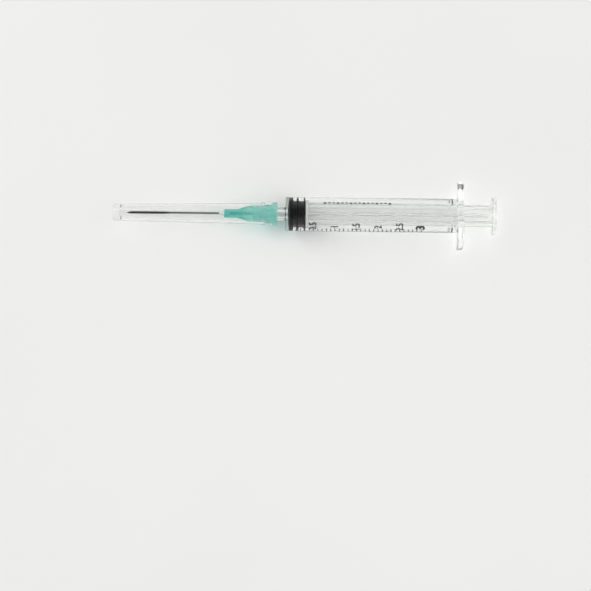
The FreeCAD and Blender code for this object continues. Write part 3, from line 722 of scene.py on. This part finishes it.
rod = drawn_out("plunger_rod_moulding", cross, RIBS_FRONT, RIBS_REAR, RIBS_ROLL)
rod.data.materials.append(rod_finish)
head = turned(
    "rod_head",
    [
        (2.87, 0, 0, 0), (2.87, 1.5, 0.2, 0), (3.97, HEAD_R, 0.2, 0), (5.07, HEAD_R, 0.15, 0),
        (5.07, NECK_R, 0.1, 0), (DISC_FRONT, NECK_R, 0.1, 0),
        (DISC_FRONT, DISC_R, 0.2, 0), (DISC_REAR, DISC_R, 0.2, 0), (DISC_REAR, 0, 0, 0),
    ],
    rod_finish,
)
thumb = turned(
    "rod_thumb",
    [
        (THUMB_FRONT, 0, 0, 0), (THUMB_FRONT, THUMB_R, 0.4, 0), (THUMB_REAR, THUMB_R, 0.4, 0),
        (THUMB_REAR, 4.3, 0.1, 0), (RING_FLOOR, 4.3, 0.1, 0),
        (RING_FLOOR, 3.7, 0.1, 0), (THUMB_REAR, 3.7, 0.1, 0),
        (THUMB_REAR, 2.6, 0.1, 0), (RING_FLOOR, 2.6, 0.1, 0),
        (RING_FLOOR, 2.0, 0.1, 0), (THUMB_REAR, 2.0, 0.1, 0), (THUMB_REAR, 0, 0, 0),
    ],
    rod_finish,
)
faced_outwards(merged(merged(rod, head, "UNION"), thumb, "UNION"))
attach(rod, "plunger_rod")
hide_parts("plunger_rod")

# %% [markdown]
# The needle's hub is a tapered socket with a thin stem in front, four fins to grip and two lugs at
# the rear. The fins repeat, so one blade is drawn and a second node tree sets copies of it round the
# axis. They are welded to the turned form before the socket and the bore are cut through it all.

# %% Build the tree that repeats round the axis
repeating, given, leaving = new_tree(
    "round_the_axis",
    [("Count", "Int"), ("Roll", "Float"), ("Axis Height", "Float"), ("Material", "Material")],
    "Blade",
)
line = put(repeating, "GeometryNodeMeshLine", mode="OFFSET")
wire(repeating, given.outputs["Count"], line.inputs["Count"])
line.inputs["Offset"].default_value = (0, 0, 0)
start = put(repeating, "ShaderNodeCombineXYZ")
wire(repeating, given.outputs["Axis Height"], start.inputs["Z"])
wire(repeating, start.outputs["Vector"], line.inputs["Start Location"])
number = put(repeating, "GeometryNodeInputIndex")
step = reckon(repeating, "DIVIDE", math.tau, given.outputs["Count"])
gone_round = reckon(repeating, "MULTIPLY", number.outputs["Index"], step)
angle = reckon(repeating, "ADD", gone_round, given.outputs["Roll"])
rolled = put(repeating, "ShaderNodeCombineXYZ")
wire(repeating, angle, rolled.inputs["X"])
copies = put(repeating, "GeometryNodeInstanceOnPoints")
wire(repeating, line.outputs["Mesh"], copies.inputs["Points"])
wire(repeating, given.outputs["Blade"], copies.inputs["Instance"])
wire(repeating, rolled.outputs["Vector"], copies.inputs["Rotation"])
finished_in(repeating, copies.outputs["Instances"], given, leaving)
print("repeating tree has", len(repeating.nodes), "nodes")

# %% [markdown]
# The hub's outline gives its stem, its flare and the wall of its socket, and the fins have soft crests.
# The lugs are one oval plate with two flats, rolled with the fins. The socket has the nozzle's taper.
# The needle's bore widens in front into the well that holds the glue.

# %% Make the needle hub
HUB_REAR = -2.8
HUB_FRONT = -20.0
HUB_ROLL = math.radians(20)
FIN_COUNT = 4
FIN_HALF = 0.35
FIN_EDGE = 0.1
CREST_ABOVE = 1.3
STEM_R = 1.4
LUG_FRONT = -4.4
LUG_REAR = HUB_REAR + 0.002
LUG_FLAT = 2.6
LUG_ROUND = 3.8
SOCKET_FRONT = -10.6
SOCKET_REAR = -2.2
MOUTH_R = 2.35
WELL_REAR = -18.2
TUBE_HOLE_R = 0.42

blade_side = [(-15.7, 1.05), (-15.7, 1.38), (-11.3, 2.7), (-4.4, 2.95), (-4.0, 2.9), (-4.0, 1.05)]
places = [
    (SHOULDER_X + station * MM, side * FIN_HALF * MM, radius * MM)
    for side in (-1, 1) for station, radius in blade_side
]
fins = new_piece("hub_fins", places, [], prism_faces(len(blade_side)))
work = bmesh.new()
work.from_mesh(fins.data)
crest = [
    edge for edge in work.edges
    if all(vertex.co.z > CREST_ABOVE * MM for vertex in edge.verts)
    and abs(edge.verts[0].co.y - edge.verts[1].co.y) < WELD
]
bmesh.ops.bevel(work, geom=crest, offset=FIN_EDGE * MM, segments=3, profile=0.5, affect="EDGES")
work.to_mesh(fins.data)
work.free()
given_inputs(fins, repeating, {
    "Count": FIN_COUNT, "Roll": HUB_ROLL, "Axis Height": AXIS_Z, "Material": hub_finish,
})
faced_outwards(made_plain(fins))

hub = turned(
    "needle_hub_moulding",
    [
        (HUB_FRONT, 0, 0, 0), (HUB_FRONT, STEM_R, 0.12, 0), (-14.6, STEM_R, 1.2, 0), (-11.3, 2.541, 1.2, 0),
        (HUB_REAR, 2.94, 0.15, 0), (HUB_REAR, 0, 0, 0),
    ],
    hub_finish,
)
lugs = turned(
    "hub_lugs",
    [
        (LUG_FRONT, 0, 0, 0), (LUG_FRONT, LUG_FLAT, 0.15, 1),
        (LUG_REAR, LUG_FLAT, 0.25, 1), (LUG_REAR, 0, 0, 0),
    ],
    hub_finish, round_reach=LUG_ROUND, flat_reach=LUG_FLAT, flat_turn=HUB_ROLL, softness=0.25,
)
socket = turned(
    "hub_socket",
    [
        (SOCKET_FRONT, 0, 0, 0), (SOCKET_FRONT, 1.941, 0.2, 0), (-3.0, 2.169, 0, 0),
        (-2.7, MOUTH_R, 0, 0), (SOCKET_REAR, MOUTH_R, 0, 0), (SOCKET_REAR, 0, 0, 0),
    ],
    hub_finish,
)
needle_bore = turned(
    "hub_bore",
    [
        (-20.5, 0, 0, 0), (-20.5, 1.175, 0, 0), (WELL_REAR, 0.6, 0, 0),
        (WELL_REAR, TUBE_HOLE_R, 0, 0), (-10.4, TUBE_HOLE_R, 0, 0), (-10.4, 0, 0, 0),
    ],
    hub_finish, steps=96,
)
for added in (fins, lugs):
    merged(hub, added, "UNION")
for cut_away in (socket, needle_bore):
    merged(hub, cut_away, "DIFFERENCE")
faced_outwards(hub)
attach(hub, "needle")
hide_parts("needle_hub")

# %% [markdown]
# The cannula is a steel tube 0.82 mm across. Its point is ground three times: one long slant, then
# two short facets that turn to either side and leave a sharp tip. The tube is turned first, and the
# points of its front end then slide along it to where the deepest of the three planes cuts.

# %% Turn and grind the cannula
TUBE_R = 0.41
TUBE_BORE = 0.255
POINT = -52.0
MAIN_SLANT = math.tan(math.radians(13))
SIDE_SLANT = math.tan(math.radians(17))
SIDE_TURN = math.radians(35)

cannula = turned(
    "cannula_tube",
    [(POINT, TUBE_BORE, 0, 0), (POINT, TUBE_R, 0, 0), (-11.1, TUBE_R, 0.05, 0), (-11.1, TUBE_BORE, 0.05, 0)],
    steel_finish, closed=True, steps=64,
)
lead = TUBE_R * (1 - math.cos(SIDE_TURN)) / SIDE_SLANT
for vertex in cannula.data.vertices:
    if vertex.co.x < SHOULDER_X + (POINT + 0.01) * MM:
        across, up = vertex.co.y / MM, (vertex.co.z - AXIS_Z) / MM
        cuts = [(up + TUBE_R) / MAIN_SLANT]
        for side in (-1, 1):
            rise = up * math.cos(SIDE_TURN) + side * across * math.sin(SIDE_TURN) + TUBE_R
            cuts.append(rise / SIDE_SLANT - lead)
        vertex.co.x = SHOULDER_X + (POINT + max(cuts)) * MM
faced_outwards(cannula)
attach(cannula, "needle")
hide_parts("cannula")

# %% [markdown]
# The glue fills the well in the hub's front and climbs a little way up the tube before it cures, so
# its cone is hollow-sided like a drop that wets a pin.

# %% Turn the glue
glue = turned(
    "needle_glue_cone",
    [
        (-21.7, TUBE_HOLE_R, 0, 0), (-21.7, 0.47, 0.03, 0), (-20.95, 0.62, 0.8, 0),
        (HUB_FRONT - 0.05, 1.04, 0.1, 0), (-18.21, 0.59, 0.05, 0), (-18.21, TUBE_HOLE_R, 0, 0),
    ],
    glue_finish, closed=True, steps=96,
)
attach(glue, "needle")
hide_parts("needle_glue")

# %% [markdown]
# The cap is a long clear sheath, closed in front, thicker there, with a small gate mark where the
# plastic entered the mould. A flared rim at the rear stiffens its mouth, and inside it grips the
# crests of the fins.

# %% Turn the cap
cap = turned(
    "needle_cap_sheath",
    [
        (-56.15, 0, 0, 0), (-56.15, 0.6, 0.08, 0), (-56.3, 0.75, 0.1, 0), (-56.3, 2.75, 0.7, 0),
        (-8.1, 3.45, 0.15, 0), (-8.1, 3.7, 0.1, 0), (-6.8, 3.7, 0.22, 0), (-6.8, 2.914, 0.15, 0),
        (-13.0, 2.691, 0.5, 0), (-54.1, 1.9, 0.8, 0), (-54.1, 0, 0, 0),
    ],
    cap_finish,
)
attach(cap, "cap")
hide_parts("needle_cap")

# %% [markdown]
# The scale is pad printed: a mark for each tenth of a millilitre, longer at each half, all as wide
# as one stroke and bent round the tube. A third node tree lays the strokes, bends them and gives the
# ink its thickness. The same tree prints the plain dashes on the far side of the barrel.

# %% Build the printing tree
INK_LOW = BARREL_R - 0.006
INK_DEPTH = 0.034

printing, given, leaving = new_tree(
    "printed_strokes",
    [
        ("Count", "Int"), ("First", "Float"), ("Pitch", "Float"), ("Stroke Width", "Float"),
        ("Start Turn", "Float"), ("Short Turn", "Float"), ("Long Turn", "Float"), ("Long Every", "Int"),
        ("Radius", "Float"), ("Ink Depth", "Float"), ("Axis Height", "Float"), ("Material", "Material"),
    ],
)
line = put(printing, "GeometryNodeMeshLine", mode="OFFSET")
wire(printing, given.outputs["Count"], line.inputs["Count"])
for source, target in (("First", "Start Location"), ("Pitch", "Offset")):
    vector = put(printing, "ShaderNodeCombineXYZ")
    wire(printing, given.outputs[source], vector.inputs["X"])
    wire(printing, vector.outputs["Vector"], line.inputs[target])
stroke = put(printing, "GeometryNodeMeshGrid")
wire(printing, given.outputs["Stroke Width"], stroke.inputs["Size X"])
stroke.inputs["Size Y"].default_value = 1.0
stroke.inputs["Vertices X"].default_value = 2
stroke.inputs["Vertices Y"].default_value = 25
shifted = put(printing, "GeometryNodeTransform")
shifted.inputs["Translation"].default_value = (0, 0.5, 0)
wire(printing, stroke.outputs["Mesh"], shifted.inputs["Geometry"])
number = put(printing, "GeometryNodeInputIndex")
beat = reckon(printing, "MODULO", number.outputs["Index"], given.outputs["Long Every"])
is_short = reckon(printing, "GREATER_THAN", beat, 0.5)
gain = reckon(printing, "SUBTRACT", given.outputs["Short Turn"], given.outputs["Long Turn"])
length = reckon(printing, "ADD", given.outputs["Long Turn"], reckon(printing, "MULTIPLY", is_short, gain))
scale = put(printing, "ShaderNodeCombineXYZ")
scale.inputs["X"].default_value = 1.0
scale.inputs["Z"].default_value = 1.0
wire(printing, length, scale.inputs["Y"])
laid = put(printing, "GeometryNodeInstanceOnPoints")
wire(printing, line.outputs["Mesh"], laid.inputs["Points"])
wire(printing, shifted.outputs["Geometry"], laid.inputs["Instance"])
wire(printing, scale.outputs["Vector"], laid.inputs["Scale"])
real = put(printing, "GeometryNodeRealizeInstances")
wire(printing, laid.outputs["Instances"], real.inputs["Geometry"])
spot = put(printing, "GeometryNodeInputPosition")
apart = put(printing, "ShaderNodeSeparateXYZ")
wire(printing, spot.outputs["Position"], apart.inputs["Vector"])
turn = reckon(printing, "ADD", apart.outputs["Y"], given.outputs["Start Turn"])
bent = put(printing, "GeometryNodeSetPosition")
wire(printing, real.outputs["Geometry"], bent.inputs["Geometry"])
wire(
    printing,
    round_the_axis(printing, apart.outputs["X"], given.outputs["Radius"], turn, given.outputs["Axis Height"]),
    bent.inputs["Position"],
)
raised = put(printing, "GeometryNodeExtrudeMesh", mode="FACES")
wire(printing, bent.outputs["Geometry"], raised.inputs["Mesh"])
wire(printing, given.outputs["Ink Depth"], raised.inputs["Offset Scale"])
raised.inputs["Individual"].default_value = False
whole = put(printing, "GeometryNodeJoinGeometry")
wire(printing, bent.outputs["Geometry"], whole.inputs["Geometry"])
wire(printing, raised.outputs["Mesh"], whole.inputs["Geometry"])
welded = put(printing, "GeometryNodeMergeByDistance")
welded.inputs["Distance"].default_value = WELD
wire(printing, whole.outputs["Geometry"], welded.inputs["Geometry"])
finished_in(printing, welded.outputs["Geometry"], given, leaving)
print("printing tree has", len(printing.nodes), "nodes")

# %% [markdown]
# The marks' pitch isn't chosen. It is the length of bore that holds a tenth of a millilitre, which is
# 100 cubic millimetres. The scale starts at the middle of the stopper's front rib.

# %% Print the strokes
SCALE_ZERO = 2.05
TICK_VOLUME = 100
TICK_PITCH = TICK_VOLUME / (math.pi * BORE_R**2)
LONG_EVERY = 5


def printed(name, count, first, pitch, width, start, short, long, every):
    """Row of curved strokes: stations and widths in mm, turns in degrees"""
    row = new_piece(name, [], [], [])
    given_inputs(row, printing, {
        "Count": count, "First": SHOULDER_X + first * MM, "Pitch": pitch * MM, "Stroke Width": width * MM,
        "Start Turn": math.radians(start), "Short Turn": math.radians(short), "Long Turn": math.radians(long),
        "Long Every": every, "Radius": INK_LOW * MM, "Ink Depth": INK_DEPTH * MM, "Axis Height": AXIS_Z,
        "Material": ink_finish,
    })
    return made_plain(row)


ticks = printed(
    "scale_ticks", count=31, first=SCALE_ZERO, pitch=TICK_PITCH, width=0.28,
    start=80.0, short=34.0, long=56.0, every=LONG_EVERY,
)
dashes = printed(
    "plain_dashes", count=16, first=12.8, pitch=1.4, width=0.8,
    start=-34.0, short=4.5, long=7.5, every=3,
)
print("ticks", len(ticks.data.vertices), "points, pitch", round(TICK_PITCH, 3), "mm")

# %% [markdown]
# The numerals read with the needle held up, half a millilitre apart, and the last is bold. Each
# starts as flat text. It is cut into narrow strips, so that it can bend, raised by the ink's
# thickness, and then rolled onto the barrel beside its long tick.

# %% Print the numerals
STRIP = 0.12


def numeral(text, station, turn, height, weight, squeeze):
    """Raised and bent numeral, centred at a station and a turn in degrees"""
    letters = bpy.data.curves.new("numeral", "FONT")
    letters.body = text
    letters.offset = weight
    letters.resolution_u = 4
    holder = bpy.data.objects.new("numeral", letters)
    bpy.context.scene.collection.objects.link(holder)
    graph = bpy.context.evaluated_depsgraph_get()
    flat_mesh = bpy.data.meshes.new_from_object(holder.evaluated_get(graph), depsgraph=graph)
    bpy.data.objects.remove(holder)
    work = bmesh.new()
    work.from_mesh(flat_mesh)
    bmesh.ops.remove_doubles(work, verts=work.verts, dist=1e-5)
    low = Vector((min(v.co.x for v in work.verts), min(v.co.y for v in work.verts)))
    high = Vector((max(v.co.x for v in work.verts), max(v.co.y for v in work.verts)))
    size = height / (high.y - low.y)
    middle = (low + high) / 2
    for vertex in work.verts:
        vertex.co.x = (vertex.co.x - middle.x) * size * squeeze
        vertex.co.y = (vertex.co.y - middle.y) * size
    half_width = (high.x - low.x) / 2 * size * squeeze
    for k in range(int(-half_width / STRIP), int(half_width / STRIP) + 1):
        everything = work.verts[:] + work.edges[:] + work.faces[:]
        bmesh.ops.bisect_plane(work, geom=everything, plane_co=(k * STRIP, 0, 0), plane_no=(1, 0, 0))
    grown = bmesh.ops.extrude_face_region(work, geom=work.faces[:])
    for item in grown["geom"]:
        if isinstance(item, bmesh.types.BMVert):
            item.co.z = INK_DEPTH
    for vertex in work.verts:
        bend = math.radians(turn) - vertex.co.x / BARREL_R
        vertex.co = at(station - vertex.co.y, INK_LOW + vertex.co.z, bend)
    bmesh.ops.recalc_face_normals(work, faces=work.faces)
    mesh = bpy.data.meshes.new("numeral")
    work.to_mesh(mesh)
    work.free()
    return mesh


NUMERAL_TURN = 57.0
NUMERAL_SHIFT = -0.25
PLAIN = {"height": 2.45, "weight": 0.02, "squeeze": 0.85}
BOLD = {"height": 3.0, "weight": 0.035, "squeeze": 1.15}
BOLD_TURN = 2
BOLD_SHIFT = -0.3

prints = []
for k in range(1, 7):
    station = SCALE_ZERO + LONG_EVERY * k * TICK_PITCH + NUMERAL_SHIFT
    if k < 6:
        prints.append(numeral(f"{k * 0.5:g}", station, NUMERAL_TURN, **PLAIN))
    else:
        prints.append(numeral("3", station + BOLD_SHIFT, NUMERAL_TURN + BOLD_TURN, **BOLD))
print(len(prints), "numerals")

# %% [markdown]
# All the ink goes onto the barrel in one pass of the pad, so ticks, numerals and dashes become one
# piece.

# %% Gather the ink
work = bmesh.new()
for mesh in [ticks.data, dashes.data, *prints]:
    work.from_mesh(mesh)
for face in work.faces:
    face.material_index = 0
ink_mesh = bpy.data.meshes.new("scale_ink")
work.to_mesh(ink_mesh)
work.free()
ink_mesh.materials.append(ink_finish)
for row in (ticks, dashes):
    bpy.data.objects.remove(row)
ink = bpy.data.objects.new("scale_ink", ink_mesh)
bpy.context.scene.collection.objects.link(ink)
faced_outwards(ink)
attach(ink, "barrel")
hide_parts("scale_print")
